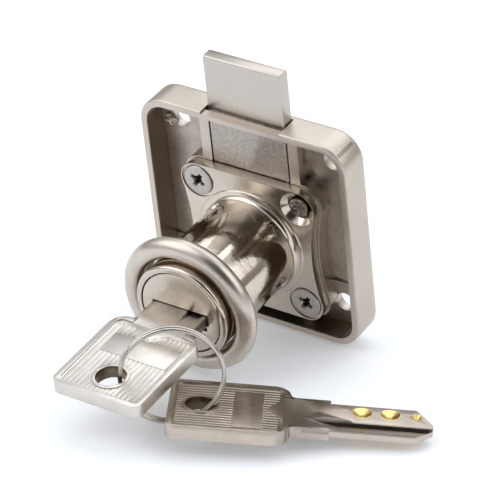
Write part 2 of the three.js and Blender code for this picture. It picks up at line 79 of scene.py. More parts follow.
# The room: a white tent, a little cool, dimmer toward its foot, with the dark of the room beyond
# showing through its open front.
TENT_FRONT = (0.479, -0.653, 0.587)
TENT_OPEN = (0.74, 0.94)
room = bpy.data.worlds.new("studio_room")
bpy.context.scene.world = room
room.use_nodes = True
sky = room.node_tree
heading = sky.nodes.new("ShaderNodeTexCoord").outputs["Generated"]
height = sky.nodes.new("ShaderNodeSeparateXYZ")
shade = sky.nodes.new("ShaderNodeValToRGB")
toward_front = sky.nodes.new("ShaderNodeVectorMath")
toward_front.operation = "DOT_PRODUCT"
toward_front.inputs[1].default_value = TENT_FRONT
opening = sky.nodes.new("ShaderNodeMapRange")
opening.interpolation_type = "SMOOTHSTEP"
opening.inputs["From Min"].default_value = TENT_OPEN[0]
opening.inputs["From Max"].default_value = TENT_OPEN[1]
tent = sky.nodes.new("ShaderNodeMix")
tent.data_type = "RGBA"
tent.inputs[7].default_value = (0.05, 0.04, 0.033, 1)
sky.links.new(heading, height.inputs[0])
sky.links.new(height.outputs["Z"], shade.inputs[0])
sky.links.new(heading, toward_front.inputs[0])
sky.links.new(toward_front.outputs["Value"], opening.inputs["Value"])
sky.links.new(opening.outputs["Result"], tent.inputs[0])
sky.links.new(shade.outputs[0], tent.inputs[6])
sky.links.new(tent.outputs[2], sky.nodes["Background"].inputs["Color"])
shade.color_ramp.elements[0].position = 0.02
shade.color_ramp.elements[0].color = (0.36, 0.33, 0.31, 1)
shade.color_ramp.elements[1].position = 0.55
shade.color_ramp.elements[1].color = (0.90, 0.95, 1.0, 1)
sky.nodes["Background"].inputs["Strength"].default_value = 0.95


def soft_light(name, place, size, power, tint=(1, 1, 1)):
    """A square soft box that looks at the lock from a place in mm."""
    clear()
    where = Vector(place) * MM
    aim = (-where).to_track_quat("-Z", "Y").to_euler()
    bpy.ops.object.light_add(type="AREA", location=where, rotation=aim)
    light = bpy.context.object
    light.name = name
    light.data.size = size * MM
    light.data.energy = power
    light.data.color = tint


soft_light("key_box", (-500, -300, 700), 900, 3.1, (0.95, 0.98, 1))
soft_light("fill_box", (700, 150, 450), 700, 1.5, (0.96, 0.98, 1))
soft_light("back_box", (-100, 600, 750), 900, 2.6, (0.95, 0.98, 1))

EYE = Vector((0.28224, -0.38575, 0.34481))
EYE_AZIMUTH = math.radians(36.24)
EYE_ELEVATION = math.radians(35.93)
EYE_ROLL = math.radians(-6.24)
EYE_LENS = 248.4
back = Vector((math.sin(EYE_AZIMUTH) * math.cos(EYE_ELEVATION),
               -math.cos(EYE_AZIMUTH) * math.cos(EYE_ELEVATION), math.sin(EYE_ELEVATION)))
level = (-back).cross(Vector((0, 0, 1))).normalized()
upright = level.cross(-back)
across = math.cos(EYE_ROLL) * level + math.sin(EYE_ROLL) * upright
over = math.cos(EYE_ROLL) * upright - math.sin(EYE_ROLL) * level
bpy.ops.object.camera_add(location=EYE, rotation=Matrix((across, over, back)).transposed().to_euler())
camera = bpy.context.object
camera.data.lens = EYE_LENS
camera.data.sensor_width = 36
camera.data.clip_start = 0.01
bpy.context.scene.camera = camera
bpy.context.scene.view_settings.view_transform = "Standard"


# ---- Case ----
# A zinc tray cast in one with two rails, four screw pads and the boss that carries the cylinder.
# Nickel plated and satin outside; inside, the cast skin is left as it came from the die.

def pick(piece):
    clear()
    piece.select_set(True)
    bpy.context.view_layer.objects.active = piece


def settle(name):
    """Names the new primitive, and puts its place into its mesh."""
    piece = bpy.context.object
    piece.name = name
    piece.data.name = name
    bpy.ops.object.transform_apply(location=True, rotation=True, scale=True)
    return piece


def block(name, x, y, z):
    clear()
    middle = Vector([(low + high) / 2 * MM for low, high in (x, y, z)])
    size = Vector([(high - low) * MM for low, high in (x, y, z)])
    bpy.ops.mesh.primitive_cube_add(size=1, location=middle, scale=size)
    return settle(name)


def bar(name, radii, y, x=0, z=0, sides=48):
    """A round bar or cone along Y."""
    clear()
    bpy.ops.mesh.primitive_cone_add(
        vertices=sides, radius1=radii[0] * MM, radius2=radii[1] * MM, depth=(y[1] - y[0]) * MM,
        location=(x * MM, (y[0] + y[1]) / 2 * MM, z * MM), rotation=(-math.pi / 2, 0, 0))
    return settle(name)


def choose(piece, kind, test):
    """Goes into edit mode with the faces or edges selected whose middle in mm and direction pass."""
    pick(piece)
    bpy.ops.object.mode_set(mode="EDIT")
    bpy.ops.mesh.select_mode(type=kind)
    bpy.ops.mesh.select_all(action="DESELECT")
    mesh = bmesh.from_edit_mesh(piece.data)
    if kind == "FACE":
        for face in mesh.faces:
            face.select_set(test(face.calc_center_median() / MM, face.normal))
    else:
        for edge in mesh.edges:
            first, last = edge.verts[0].co, edge.verts[1].co
            edge.select_set(test((first + last) / 2 / MM, (last - first).normalized()))
    mesh.select_flush_mode()
    bmesh.update_edit_mesh(piece.data)


def done():
    bpy.ops.object.mode_set(mode="OBJECT")


def round_edges(piece, test, radius, steps):
    choose(piece, "EDGE", test)
    bpy.ops.mesh.bevel(offset=radius * MM, segments=steps, affect="EDGES")
    done()


def modify(piece, kind, **settings):
    pick(piece)
    change = piece.modifiers.new("change", kind)
    for key, value in settings.items():
        setattr(change, key, value)
    bpy.ops.object.modifier_apply(modifier=change.name)


def cut(piece, *tools, operation="DIFFERENCE"):
    for tool in tools:
        modify(piece, "BOOLEAN", operation=operation, solver="EXACT", object=tool)
        bpy.data.objects.remove(tool)


def join(piece, *others):
    cut(piece, *others, operation="UNION")


def soften(piece, width, angle=35, steps=2):
    """Breaks every sharp edge."""
    modify(piece, "WELD", merge_threshold=0.00001)
    modify(piece, "BEVEL", width=width * MM, segments=steps, limit_method="ANGLE",
           angle_limit=math.radians(angle), use_clamp_overlap=True, harden_normals=False)


def smooth(piece, angle=30):
    pick(piece)
    bpy.ops.object.shade_smooth_by_angle(angle=math.radians(angle))


FLANGE_HALF = 13.4
LOBE_RADIUS = 3.45
WAIST_X = 12.07
WAIST_RADIUS = 33.6


def lobed_plate(name, margin, y):
    """The flange's outline: a lobe at each corner and waisted sides."""
    half = FLANGE_HALF + margin
    plate = block(name, (-half, half), y, (-half + 0.1, half - 0.1))
    round_edges(plate, lambda mid, way: abs(way.y) > 0.9, LOBE_RADIUS + margin, 10)
    for side in (-1, 1):
        centre = side * (WAIST_X + margin + WAIST_RADIUS)
        cut(plate, bar("waist", (WAIST_RADIUS, WAIST_RADIUS), (y[0] - 1, y[1] + 1), x=centre, sides=400))
    return plate


CASE_WALL = 1.3
CASE_CORNER = 5
CASE_RIM_ROUND = 0.35
case_low, case_high = [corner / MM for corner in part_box("case")]
FLOOR_Y = case_high.y - 1.3
CHANNEL_HALF = 7.85
RAIL_WIDTH = 1.9
RAIL_Y = 2.2
PAD_SIZE = 8.6
PAD_RAISE = 0.4
SCREW_X = 9.95
SCREW_Z = 9.85
MOUNT_HOLES = [(side * 15.2, z) for side in (-1, 1) for z in (18.6, -10.8)]

case = block("case_tray", (case_low.x, case_high.x), (0, case_high.y), (case_low.z, case_high.z))
round_edges(case, lambda mid, way: abs(way.y) > 0.9, CASE_CORNER, 12)
round_edges(case, lambda mid, way: mid.y > case_high.y - 0.01, 0.8, 5)
round_edges(case, lambda mid, way: mid.y < 0.01, CASE_RIM_ROUND, 3)
choose(case, "FACE", lambda mid, way: way.y < -0.99)
bpy.ops.mesh.inset(thickness=(CASE_WALL - CASE_RIM_ROUND) * MM)
bpy.ops.mesh.extrude_region_move(TRANSFORM_OT_translate={"value": (0, FLOOR_Y * MM, 0)})
done()
for side in (-1, 1):
    rail_x = sorted((side * CHANNEL_HALF, side * (CHANNEL_HALF + RAIL_WIDTH)))
    join(case, block("rail", rail_x, (RAIL_Y, FLOOR_Y + 0.5), (case_low.z + 0.6, case_high.z - 0.6)))
    for end, z_edge in ((-1, case_low.z), (1, case_high.z)):
        pad_x = sorted((side * (case_high.x - 0.5), side * (case_high.x - CASE_WALL - PAD_SIZE)))
        pad_z = sorted((z_edge - end * 0.5, z_edge - end * (CASE_WALL + PAD_SIZE)))
        pad = block("pad", pad_x, (FLOOR_Y - PAD_RAISE, FLOOR_Y + 0.5), pad_z)
        corner_x = side * (case_high.x - 0.5)
        round_edges(pad, lambda mid, way: abs(way.y) > 0.9 and abs(mid.x - corner_x) < 0.1
                    and abs(mid.z - z_edge) < 0.6, 4.4, 6)
        round_edges(pad, lambda mid, way: abs(way.y) > 0.9 and abs(mid.x - corner_x) > 5
                    and abs(mid.z - z_edge) > 5, 1.8, 5)
        join(case, pad)
join(case, lobed_plate("boss", 0.35, (2.1, FLOOR_Y + 0.5)))
cut(case, block("channel", (-CHANNEL_HALF, CHANNEL_HALF), (1.5, FLOOR_Y), (case_low.z + 1.3, 26)))
cut(case, block("notch", (-CHANNEL_HALF, CHANNEL_HALF), (-1, FLOOR_Y), (case_high.z - 0.35, 26)))
for x, z in MOUNT_HOLES:
    cut(case, bar("hole", (1.8, 1.8), (FLOOR_Y - 1, case_high.y + 1), x, z))
for x in (-SCREW_X, SCREW_X):
    for z in (-SCREW_Z, SCREW_Z):
        cut(case, bar("hole", (1.5, 1.5), (1, FLOOR_Y + 0.1), x, z, 32))
soften(case, 0.13)
smooth(case)


def new_material(name, metallic=1.0):
    made = bpy.data.materials.new(name)
    made.use_nodes = True
    made.node_tree.nodes["Principled BSDF"].inputs["Metallic"].default_value = metallic
    return made


def add(made, kind, sockets=None, **settings):
    """One node, with its sockets set to values or joined to other nodes' outputs."""
    new = made.node_tree.nodes.new(kind)
    for key, value in settings.items():
        setattr(new, key, value)
    for key, value in (sockets or {}).items():
        if isinstance(value, bpy.types.NodeSocket):
            made.node_tree.links.new(value, new.inputs[key])
        else:
            new.inputs[key].default_value = value
    return new


def place_of(made):
    return add(made, "ShaderNodeTexCoord").outputs["Object"]


def grain(made, where, size, detail=3, stretch=(1, 1, 1)):
    """Noise with grains of a size in mm, drawn out along an axis by a stretch below 1."""
    turned = add(made, "ShaderNodeMapping", {"Vector": where, "Scale": stretch})
    return add(made, "ShaderNodeTexNoise",
               {"Vector": turned.outputs[0], "Scale": 1 / (size * MM), "Detail": detail}).outputs["Fac"]


def between(made, amount, low, high, from_low=0.3, from_high=0.7):
    """A number from low to high as the amount goes over its range."""
    return add(made, "ShaderNodeMapRange",
               {"Value": amount, "From Min": from_low, "From Max": from_high,
                "To Min": low, "To Max": high}).outputs["Result"]


def blended(made, amount, first, second):
    """A colour mixed from two colours or colour outputs."""
    mixer = add(made, "ShaderNodeMix", data_type="RGBA")
    for socket, value in ((mixer.inputs[0], amount), (mixer.inputs[6], first), (mixer.inputs[7], second)):
        if isinstance(value, bpy.types.NodeSocket):
            made.node_tree.links.new(value, socket)
        elif isinstance(value, (int, float)):
            socket.default_value = value
        else:
            socket.default_value = (*value, 1)
    return mixer.outputs[2]


def calc(made, operation, *values):
    step = add(made, "ShaderNodeMath", operation=operation)
    for socket, value in zip(step.inputs, values):
        if isinstance(value, bpy.types.NodeSocket):
            made.node_tree.links.new(value, socket)
        else:
            socket.default_value = value
    return step.outputs[0]


def finish_metal(made, colour, roughness, relief, depth):
    """Joins colour, roughness and a relief of a depth in mm to the shader."""
    shader = made.node_tree.nodes["Principled BSDF"]
    made.node_tree.links.new(colour, shader.inputs["Base Color"])
    made.node_tree.links.new(roughness, shader.inputs["Roughness"])
    bump = add(made, "ShaderNodeBump", {"Height": relief, "Strength": 1.0, "Distance": depth * MM})
    made.node_tree.links.new(bump.outputs[0], shader.inputs["Normal"])
    return made


def dress(piece, made):
    piece.data.materials.clear()
    piece.data.materials.append(made)


SATIN = (0.57, 0.505, 0.44)
SATIN_DULL = (0.52, 0.455, 0.395)
CAST = (0.50, 0.445, 0.39)
CAST_DARK = (0.37, 0.32, 0.275)
# Painted shade: the inner faces of the tray's walls are given a dark brown colour.
PAINTED_WALL_SHADE = (0.30, 0.24, 0.18)


def case_metal():
    made = new_material("cast_tray_nickel")
    where = place_of(made)
    axes = add(made, "ShaderNodeSeparateXYZ", {"Vector": where})
    from_middle = calc(made, "ABSOLUTE", axes.outputs["X"])
    from_centre = calc(made, "ABSOLUTE", calc(made, "SUBTRACT", axes.outputs["Z"], 4 * MM))
    from_rim = calc(made, "ABSOLUTE", calc(made, "SUBTRACT", axes.outputs["Y"], 2.7 * MM))
    inside = calc(made, "MULTIPLY", calc(made, "LESS_THAN", from_middle, 19.25 * MM),
                  calc(made, "LESS_THAN", from_centre, 19.35 * MM))
    inside = calc(made, "MULTIPLY", inside, calc(made, "LESS_THAN", from_rim, 2.35 * MM))
    # The inner faces of the walls get painted shade, a dark brown.
    inner_wall_shade = calc(made, "MAXIMUM", calc(made, "GREATER_THAN", from_middle, 19.05 * MM),
                calc(made, "GREATER_THAN", from_centre, 19.15 * MM))
    inner_wall_shade = calc(made, "MULTIPLY", inner_wall_shade, inside)
    floor = calc(made, "MULTIPLY", inside, between(made, axes.outputs["Y"], 0, 1, 3.9 * MM, 4.4 * MM))
    cloud = grain(made, where, 6, 3)
    skin = grain(made, where, 0.3, 3)
    stains = grain(made, where, 2.5, 4)
    fine = grain(made, where, 0.1, 2)
    outer = blended(made, between(made, cloud, 0, 1), SATIN, SATIN_DULL)
    blotches = calc(made, "ADD", calc(made, "MULTIPLY", skin, 0.6), calc(made, "MULTIPLY", stains, 0.4))
    cast = blended(made, between(made, blotches, 0, 1, 0.4, 0.6), CAST_DARK, CAST)
    colour = blended(made, inner_wall_shade, blended(made, floor, outer, cast), PAINTED_WALL_SHADE)
    smooth_part = between(made, fine, 0.34, 0.42)
    rough_part = between(made, skin, 0.30, 0.44)
    roughness = add(made, "ShaderNodeMix", {0: floor, 2: smooth_part, 3: rough_part}).outputs[0]
    brushed = calc(made, "MULTIPLY", fine, 0.08)
    pitted = calc(made, "MULTIPLY", skin, 0.4)
    relief = add(made, "ShaderNodeMix", {0: floor, 2: brushed, 3: pitted}).outputs[0]
    return finish_metal(made, colour, roughness, relief, 0.06)


dress(case, case_metal())
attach(case, "lock_body")
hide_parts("case")

# Flash left where the die leaked beside one screw hole: a few small torn lumps.
FLASH_AT = (-17.2, FLOOR_Y - 0.75, 17.9)
FLASH_SIZE = (1.5, 0.55, 1.1)
FLASH_LUMP = 0.5
clear()
bpy.ops.mesh.primitive_ico_sphere_add(subdivisions=5, radius=MM, location=Vector(FLASH_AT) * MM,
                                      scale=FLASH_SIZE)
flash = settle("die_flash")
for point in flash.data.vertices:
    x, y, z = point.co / MM
    swell = 0.5 + 0.28 * math.sin(3.1 * x + 1.7 * z)
    ripple = 0.22 * math.sin(5.3 * z - 2.2 * x) + 0.2 * math.sin(9 * x + 7 * z)
    point.co.y += (1 - swell - ripple) * FLASH_LUMP * MM
dress(flash, case.data.materials[0])
smooth(flash, 60)
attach(flash, "lock_body")


# ---- Sliding bolt ----
# A flat bar of zinc that slides in the case's channel; its head is ground smooth and plated, and
# the part behind the flange keeps its cast skin. A slot across it takes the disc's crank pin.

bolt_low, bolt_high = [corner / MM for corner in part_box("bolt")]
bolt = block("bolt_bar", (bolt_low.x, bolt_high.x), (bolt_low.y, bolt_high.y), (bolt_low.z, bolt_high.z))
round_edges(bolt, lambda mid, way: mid.z > bolt_high.z - 0.01 and abs(way.x) > 0.9, 0.35, 2)
cut(bolt, block("crank_slot", (-1.6, 6.65), (1, 6), (2.6, 7.5)))
soften(bolt, 0.15)
smooth(bolt)


def bolt_metal():
    made = new_material("ground_bolt_nickel")
    where = place_of(made)
    axes = add(made, "ShaderNodeSeparateXYZ", {"Vector": where})
    low = between(made, axes.outputs["Z"], 1, 0, 24.2 * MM, 24.6 * MM)
    lines = grain(made, where, 0.16, 3, (1, 1, 0.06))
    mottle = grain(made, where, 0.55, 5)
    ground = blended(made, between(made, lines, 0, 1), (0.50, 0.45, 0.405), (0.54, 0.485, 0.435))
    cast = blended(made, between(made, mottle, 0, 1, 0.36, 0.64),
                   (0.34, 0.30, 0.265), (0.45, 0.405, 0.365))
    colour = blended(made, low, ground, cast)
    dull = calc(made, "ADD", calc(made, "MULTIPLY", low, 0.2), lines)
    roughness = between(made, dull, 0.27, 0.4, 0.3, 0.9)
    brushed = calc(made, "MULTIPLY", lines, 0.06)
    relief = add(made, "ShaderNodeMix", {0: low, 2: brushed, 3: mottle}).outputs[0]
    return finish_metal(made, colour, roughness, relief, 0.05)


dress(bolt, bolt_metal())
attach(bolt, "bolt")
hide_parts("bolt")


# ---- Cylinder housing ----
# One zinc casting: a waisted flange, a collar and the barrel. The barrel is polished before
# plating; the flange's face is brushed, and its edges are lightly broken.

def turned(name, profile, steps=96):
    """A ring or spindle spun about Y from a closed outline of [radius, y] points in mm."""
    clear()
    bpy.ops.mesh.primitive_circle_add(vertices=len(profile), radius=MM, fill_type="NOTHING")
    piece = settle(name)
    bpy.ops.object.mode_set(mode="EDIT")
    outline = bmesh.from_edit_mesh(piece.data)
    outline.verts.ensure_lookup_table()
    for point, (radius, y) in zip(outline.verts, profile):
        point.co = (radius * MM, y * MM, 0)
    bmesh.update_edit_mesh(piece.data)
    bpy.ops.mesh.select_all(action="SELECT")
    bpy.ops.mesh.spin(steps=steps, angle=2 * math.pi, center=(0, 0, 0), axis=(0, 1, 0))
    bpy.ops.mesh.select_all(action="SELECT")
    bpy.ops.mesh.remove_doubles(threshold=0.000002)
    bpy.ops.mesh.dissolve_degenerate(threshold=0.000001)
    bpy.ops.mesh.normals_make_consistent(inside=False)
    bpy.ops.object.mode_set(mode="OBJECT")
    return piece


FLANGE_Y = (0.15, 2)
BARREL_RADIUS = 9
BARREL_FRONT = -22.05
BARREL_NOSE = 0.55
BARREL_INNER = 5.3
COLLAR_RADIUS = 10.5
FILLET_RADIUS = 1.15
FILLET_AT = (10.2, -1.42)
BORE_RADIUS = 5.35
DISC_SEAT_RADIUS = 6.8
HEAD_BORE = 7.9
PLUG_HEAD_DEPTH = 2.15
DOWEL_Y = -2.4
DOWEL_ANGLES = (128, -34)
DOWEL_HOLE = 0.71
CHAMBER_MOUTH = 1.35
PIN_X = 1.8
PIN_Y = (-16.1, -11.5, -7.2)


def arc(centre, radius, start, end, steps):
    """Points of [radius, y] round a centre, between two angles in degrees."""
    turns = [math.radians(start + (end - start) * step / steps) for step in range(steps + 1)]
    return [[centre[0] + radius * math.cos(turn), centre[1] + radius * math.sin(turn)] for turn in turns]


nose_at = (BARREL_RADIUS - BARREL_NOSE, BARREL_FRONT + BARREL_NOSE)
housing = lobed_plate("flange_and_barrel", 0, FLANGE_Y)
join(housing, turned("barrel", [
    [BARREL_INNER, 1.2], [COLLAR_RADIUS, 1.2], [COLLAR_RADIUS, -0.12], [COLLAR_RADIUS - 0.1, -0.22],
    *arc(FILLET_AT, FILLET_RADIUS, 90, 180, 9), *arc(nose_at, BARREL_NOSE, 0, -90, 5),
    [HEAD_BORE, BARREL_FRONT], [HEAD_BORE, BARREL_FRONT + PLUG_HEAD_DEPTH],
    [BARREL_INNER, BARREL_FRONT + PLUG_HEAD_DEPTH]]))
cut(housing, bar("bore", (BORE_RADIUS, BORE_RADIUS), (-1, 3), sides=96))
cut(housing, bar("disc_seat", (DISC_SEAT_RADIUS, DISC_SEAT_RADIUS), (0.25, 3), sides=96))

# The screws sit in stepped holes, and the studs in plain countersinks.
SCREW_MOUTH = [[0, -1], [3.25, -1], [3.25, 0.5], [2.85, 0.52]]
STUD_MOUTH = [[0, 0], [3.42, 0]]
HOLE_STEM = [[1.5, 1.75], [1.5, 3], [0, 3]]
for x in (-SCREW_X, SCREW_X):
    for z in (-SCREW_Z, SCREW_Z):
        hole = turned("countersink", (SCREW_MOUTH if x * z < 0 else STUD_MOUTH) + HOLE_STEM, 64)
        hole.data.transform(Matrix.Translation(Vector((x, 0, z)) * MM))
        cut(housing, hole)


def spoke(name, angle, radii, reach, y):
    """A round bar across the barrel's axis, at an angle from +X toward +Z."""
    clear()
    turn = math.radians(angle)
    middle = (reach[0] + reach[1]) / 2 * MM
    bpy.ops.mesh.primitive_cone_add(
        vertices=40, radius1=radii[0] * MM, radius2=radii[1] * MM, depth=(reach[1] - reach[0]) * MM,
        location=(middle * math.cos(turn), y * MM, middle * math.sin(turn)),
        rotation=(0, math.pi / 2 - turn, 0))
    return settle(name)


for angle in DOWEL_ANGLES:
    cut(housing, spoke("dowel_hole", angle, (DOWEL_HOLE, DOWEL_HOLE), (4.5, 10), DOWEL_Y))
    cut(housing, spoke("dowel_seat", angle, (1.05, 1.5), (8.7, 9.6), DOWEL_Y))
for y in PIN_Y:
    clear()
    bpy.ops.mesh.primitive_cylinder_add(vertices=40, radius=CHAMBER_MOUTH * MM, depth=2.5 * MM,
                                        location=(PIN_X * MM, y * MM, -8.85 * MM))
    cut(housing, settle("chamber_mouth"))
soften(housing, 0.09)
smooth(housing, 25)


def spot(made, across, along, centre, radius):
    """1 inside a circle with a centre and radius in mm, across two coordinates, and 0 outside it."""
    near = calc(made, "ADD", calc(made, "POWER", calc(made, "SUBTRACT", across, centre[0] * MM), 2),
                calc(made, "POWER", calc(made, "SUBTRACT", along, centre[1] * MM), 2))
    return calc(made, "LESS_THAN", near, (radius * MM) ** 2)


def housing_metal():
    made = new_material("polished_housing_nickel")
    where = place_of(made)
    axes = add(made, "ShaderNodeSeparateXYZ", {"Vector": where})
    flange = between(made, axes.outputs["Y"], 0, 1, -0.1 * MM, 0.1 * MM)
    cloud = grain(made, where, 3.5, 4)
    brushed = grain(made, where, 0.1, 3, (1, 1, 0.25))
    scuffs = grain(made, where, 0.2, 4, (1, 0.12, 1))
    colour = blended(made, between(made, cloud, 0, 1), (0.62, 0.55, 0.475), (0.55, 0.485, 0.415))
    polished = between(made, scuffs, 0.05, 0.16)
    sunk = calc(made, "MAXIMUM", *[spot(made, axes.outputs["X"], axes.outputs["Z"],
                                        (side * SCREW_X, side * SCREW_Z), 3.2) for side in (-1, 1)])
    satin = between(made, brushed, 0.26, 0.34)
    face = add(made, "ShaderNodeMix", {0: sunk, 2: satin, 3: polished}).outputs[0]
    roughness = add(made, "ShaderNodeMix", {0: flange, 2: polished, 3: face}).outputs[0]
    lines = calc(made, "MULTIPLY", brushed, 0.04)
    relief = add(made, "ShaderNodeMix", {0: flange, 2: cloud, 3: lines}).outputs[0]
    return finish_metal(made, colour, roughness, relief, 0.05)


dress(housing, housing_metal())
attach(housing, "lock_body")
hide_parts("cylinder_housing")


# ---- Flange screws ----
# Two countersunk steel screws, zinc plated, with a cross recess; they hold the cylinder to the
# case. Each head is struck cold, so its recess has tapered arms and a soft rim.

SCREW_TOP = 0.22
SCREW_SHIFT = -0.12
RECESS_ARM = 1.7
RECESS_HALF = 0.48
screw = turned("flange_screw_a", [
    [0, SCREW_TOP], [2.4, SCREW_TOP], [2.72, SCREW_TOP + 0.05], [2.9, SCREW_TOP + 0.2],
    [1.4, SCREW_TOP + 1.5], [1.35, 4.4], [0, 4.8]], 48)
for turn in (0, 90):
    arm = block("recess", (-RECESS_ARM, RECESS_ARM), (-0.3, 1.1), (-RECESS_HALF, RECESS_HALF))
    choose(arm, "FACE", lambda mid, way: way.y > 0.9)
    bpy.ops.transform.resize(value=(0.6, 1, 0.6))
    done()
    arm.data.transform(Matrix.Rotation(math.radians(turn + 30), 4, "Y"))
    cut(screw, arm)
cut(screw, bar("recess_heart", (1.05, 0.4), (0, 1.25), sides=24))
soften(screw, 0.05)
smooth(screw)


def screw_metal():
    made = new_material("zinc_plated_steel")
    where = place_of(made)
    axes = add(made, "ShaderNodeSeparateXYZ", {"Vector": where})
    # Painted shade: the cross recess goes near black toward its bottom, and the same mask makes it rougher
    # there.
    deep_recess_shade = between(made, axes.outputs["Y"], 0, 1, 0.3 * MM, 0.9 * MM)
    speck = grain(made, where, 0.5, 4)
    plated = blended(made, between(made, speck, 0, 1), (0.42, 0.385, 0.35), (0.52, 0.48, 0.44))
    colour = blended(made, deep_recess_shade, plated, (0.05, 0.045, 0.04))
    roughness = calc(made, "ADD", between(made, speck, 0.26, 0.42), calc(made, "MULTIPLY", deep_recess_shade, 0.5))
    return finish_metal(made, colour, roughness, speck, 0.02)


zinc_plate = screw_metal()
for node, name, place in (("flange_screw_1", "flange_screw_a", (-SCREW_X, 0, SCREW_Z)),
                          ("flange_screw_2", "flange_screw_b", (SCREW_X, 0, -SCREW_Z))):
    piece = screw.copy()
    piece.data = screw.data.copy()
    bpy.context.collection.objects.link(piece)
    seated = Vector(place) + Vector((SCREW_SHIFT, 0, SCREW_SHIFT / 2))
    piece.data.transform(Matrix.Translation(seated * MM))
    dress(piece, zinc_plate)
    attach(piece, "lock_body")
    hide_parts(node)
    piece.name = name + "_head"
bpy.data.objects.remove(screw)


# ---- Flange studs ----
# The other two countersinks are fastened by cast studs that stand up from the case's boss and
# are staked over: a rough round end with two small punch rings.

STUD_TOP = 0.45
stud = turned("flange_stud", [
    [0, STUD_TOP - 0.15], [0.7, STUD_TOP - 0.1], [1.5, STUD_TOP], [1.75, STUD_TOP + 0.12],
    [1.8, STUD_TOP + 0.5], [1.4, STUD_TOP + 1.2], [1.35, 4.6], [0, 4.6]], 40)
for x, z in ((-0.62, 0.42), (0.62, -0.38)):
    clear()
    bpy.ops.mesh.primitive_torus_add(
        location=(x * MM, (STUD_TOP - 0.06) * MM, z * MM), rotation=(math.pi / 2, 0, 0),
        major_segments=32, minor_segments=8, major_radius=0.5 * MM, minor_radius=0.2 * MM)
    cut(stud, settle("punch_ring"))
soften(stud, 0.03)
smooth(stud)


def stud_metal():
    made = new_material("staked_stud_nickel")
    where = place_of(made)
    lumps = grain(made, where, 0.6, 5)
    colour = blended(made, between(made, lumps, 0, 1, 0.35, 0.6), (0.16, 0.13, 0.105), (0.44, 0.39, 0.34))
    return finish_metal(made, colour, between(made, lumps, 0.42, 0.2), lumps, 0.12)


staked = stud_metal()
for node, place in (("flange_rivet_1", (SCREW_X, 0, SCREW_Z)),
                    ("flange_rivet_2", (-SCREW_X, 0, -SCREW_Z))):
    piece = stud.copy()
    piece.data = stud.data.copy()
    piece.name = "stud_" + node[-1]
    bpy.context.collection.objects.link(piece)
    piece.data.transform(Matrix.Translation(Vector(place) * MM))
    dress(piece, staked)
    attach(piece, "lock_body")
    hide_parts(node)
bpy.data.objects.remove(stud)


# ---- Trim ring ----
# A pressed ring of satin nickel-plated brass that slips over the barrel and covers the edge of
# the hole in the drawer's front. Its front is a smooth roll, and its back is dished.

RING_PROFILE = [
    [9.2, -17.2], [9.2, -18.5], [9.2, -19.2], [9.35, -19.35], [9.6, -19.45], [9.72, -19.8], [9.8, -20.4],
    [10.15, -20.85], [11.0, -21.05], [12.15, -20.7], [12.98, -19.75], [12.98, -18.6], [12.55, -17.95],
    [12.15, -18.1], [11.6, -19.3], [10.6, -19.5], [10.15, -18.8], [10.05, -17.2], [9.9, -17.15],
    [9.3, -17.15]]
ring = turned("trim_ring_roll", RING_PROFILE, 64)
modify(ring, "SUBSURF", levels=2, render_levels=2)
smooth(ring, 60)


def ring_metal():
    made = new_material("satin_ring_nickel")
    where = place_of(made)
    cloud = grain(made, where, 4, 3)
    fine = grain(made, where, 0.15, 3)
    colour = blended(made, between(made, cloud, 0, 1), (0.60, 0.54, 0.475), (0.54, 0.48, 0.42))
    return finish_metal(made, colour, between(made, fine, 0.26, 0.34), fine, 0.004)


dress(ring, ring_metal())
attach(ring, "trim_ring")
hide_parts("trim_ring")


# ---- Plug ----
# The turning core of the cylinder: a satin head that fills the barrel's mouth, and a stem with
# the keyway broached through it and three chambers for the pins.

PLUG_HEAD = 7.7
PLUG_STEM = 5.2
DOWEL_GROOVE = 4.5
KEYWAY_HALF = 5.55
KEYWAY_HIGH = 1.15
KEYWAY_MOUTH = (BARREL_FRONT - 1, -20.5)
plug = turned("plug_core", [
    [0, BARREL_FRONT], [PLUG_HEAD - 0.25, BARREL_FRONT], [PLUG_HEAD - 0.08, BARREL_FRONT + 0.06],
    [PLUG_HEAD, BARREL_FRONT + 0.25], [PLUG_HEAD, BARREL_FRONT + 2], [PLUG_STEM, BARREL_FRONT + 2],
    [PLUG_STEM, DOWEL_Y - 0.8], [DOWEL_GROOVE, DOWEL_Y - 0.8], [DOWEL_GROOVE, DOWEL_Y + 0.8],
    [PLUG_STEM, DOWEL_Y + 0.8], [PLUG_STEM, 0.25], [0, 0.25]])
join(plug, block("tail", (-2.1, 2.1), (-0.6, 1.05), (-2.1, 2.1)))
cut(plug, block("keyway", (-KEYWAY_HALF, KEYWAY_HALF), KEYWAY_MOUTH, (-KEYWAY_HIGH, KEYWAY_HIGH)))
cut(plug, block("keyway_stem", (-4.3, 4.3), (BARREL_FRONT - 1, -3.6), (-KEYWAY_HIGH, KEYWAY_HIGH)))
cut(plug, block("keyway_step", (2.6, 5.1), (BARREL_FRONT - 1, -19.6), (-2.3, 0)))
cut(plug, bar("screw_bore", (1.15, 1.15), (-3, 2), sides=24))
for y in PIN_Y:
    clear()
    bpy.ops.mesh.primitive_cylinder_add(vertices=32, radius=1 * MM, depth=5 * MM,
                                        location=(PIN_X * MM, y * MM, -3.1 * MM))
    cut(plug, settle("chamber"))
soften(plug, 0.06)
smooth(plug)


def plug_metal():
    made = new_material("satin_plug_nickel")
    where = place_of(made)
    cloud = grain(made, where, 3, 3)
    fine = grain(made, where, 0.12, 3, (0.2, 1, 1))
    colour = blended(made, between(made, cloud, 0, 1), (0.60, 0.53, 0.455), (0.54, 0.475, 0.405))
    return finish_metal(made, colour, between(made, fine, 0.24, 0.34), fine, 0.006)


dress(plug, plug_metal())
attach(plug, "plug")
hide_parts("plug")


# ---- Hidden works ----
# The drive disc and its screw, the retaining dowels, the pin stacks with their springs and the
# caps that close the chambers. Their shapes are the working ones; here they get their finishes.

